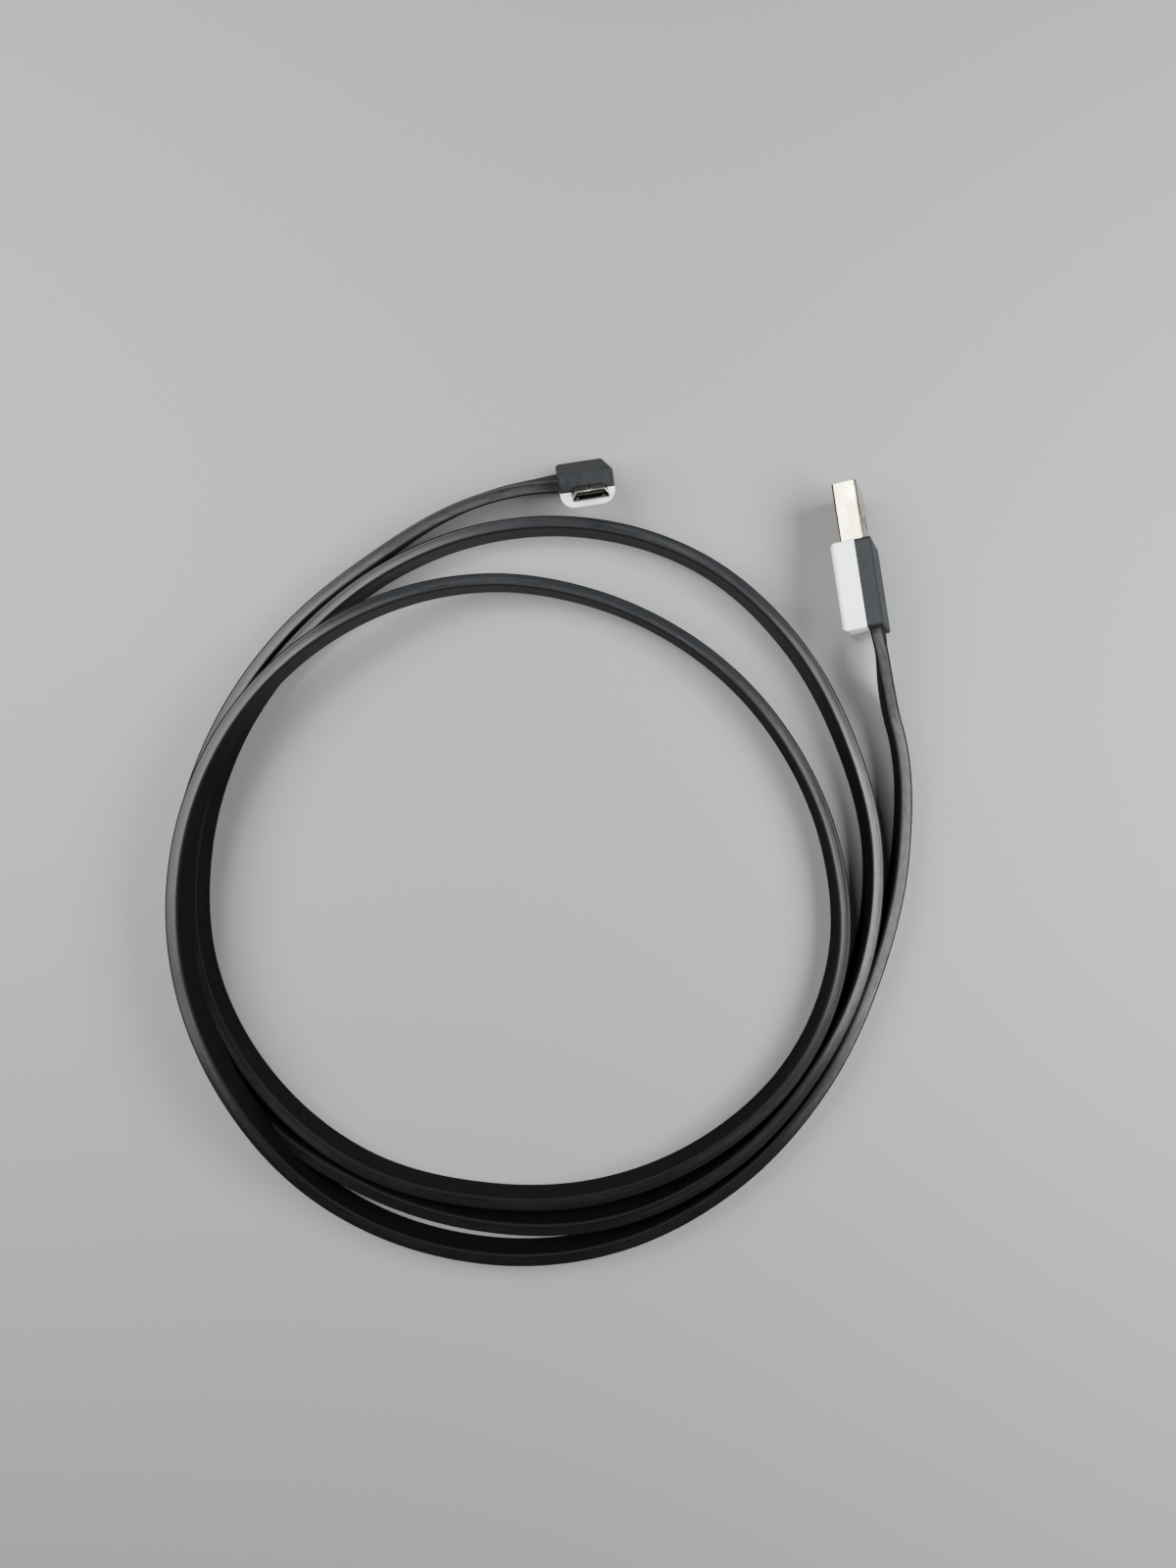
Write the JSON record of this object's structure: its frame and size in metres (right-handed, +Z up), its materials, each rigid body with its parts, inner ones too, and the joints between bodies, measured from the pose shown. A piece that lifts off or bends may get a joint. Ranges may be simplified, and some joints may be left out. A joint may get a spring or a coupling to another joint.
{
  "type": "charging cable",
  "caption": "Flat ribbon charging cable standing on its narrow edge in loose loops, with a straight USB-A plug and a right-angle micro-B plug in two-tone moulded bodies.",
  "frame": {"origin": "centre of the coiled cable's bounding box, on the surface that it stands on", "axes": "+Z up, square to the surface; +Y along the longest side of the coil, towards the end where both plugs lie; +X towards the side of the USB-A plug"},
  "size_m": [0.1409, 0.1536, 0.0184],
  "materials": {
    "jacket": "satin, slightly dusty",
    "dark_plastic": "fine matt grain",
    "white_plastic": "semi-gloss",
    "inner_mould": "natural",
    "spring_steel": "satin",
    "nickel_plate": "polished nickel",
    "insulator": "smooth",
    "contact_gold": "gold flash",
    "insulation_red": "smooth",
    "insulation_white": "smooth",
    "insulation_green": "smooth",
    "insulation_black": "smooth"
  },
  "bodies": {
    "cable": {"cable_jacket": "jacket", "usb_a_dark_cover": "dark_plastic", "usb_a_white_cover": "white_plastic", "usb_a_inner_mould": "inner_mould", "usb_a_cable_clamp": "spring_steel", "usb_a_shell": "nickel_plate", "usb_a_tongue": "insulator", "usb_a_power_contacts": "contact_gold", "usb_a_data_contacts": "contact_gold", "usb_a_red_wire": "insulation_red", "usb_a_white_wire": "insulation_white", "usb_a_green_wire": "insulation_green", "usb_a_black_wire": "insulation_black", "micro_dark_cover": "dark_plastic", "micro_white_cover": "white_plastic", "micro_inner_mould": "inner_mould", "micro_cable_clamp": "spring_steel", "micro_shell": "nickel_plate", "micro_insulator": "insulator", "micro_contacts": "contact_gold", "micro_red_wire": "insulation_red", "micro_white_wire": "insulation_white", "micro_green_wire": "insulation_green", "micro_black_wire": "insulation_black"},
    "left_latch": {"micro_left_latch": "spring_steel"},
    "right_latch": {"micro_right_latch": "spring_steel"}
  },
  "joints": [
    {"name": "left_latch_press", "type": "hinge", "parent": "cable", "child": "left_latch", "pos_m": [0.00599, 0.06887, 0.00846], "axis": [-0.9885, -0.1513, 0], "range_deg": [0, 2], "stiffness_Nm_per_rad": 0.05},
    {"name": "right_latch_press", "type": "hinge", "parent": "cable", "child": "right_latch", "pos_m": [0.01084, 0.06961, 0.00846], "axis": [-0.9885, -0.1513, 0], "range_deg": [0, 2], "stiffness_Nm_per_rad": 0.05}
  ]
}
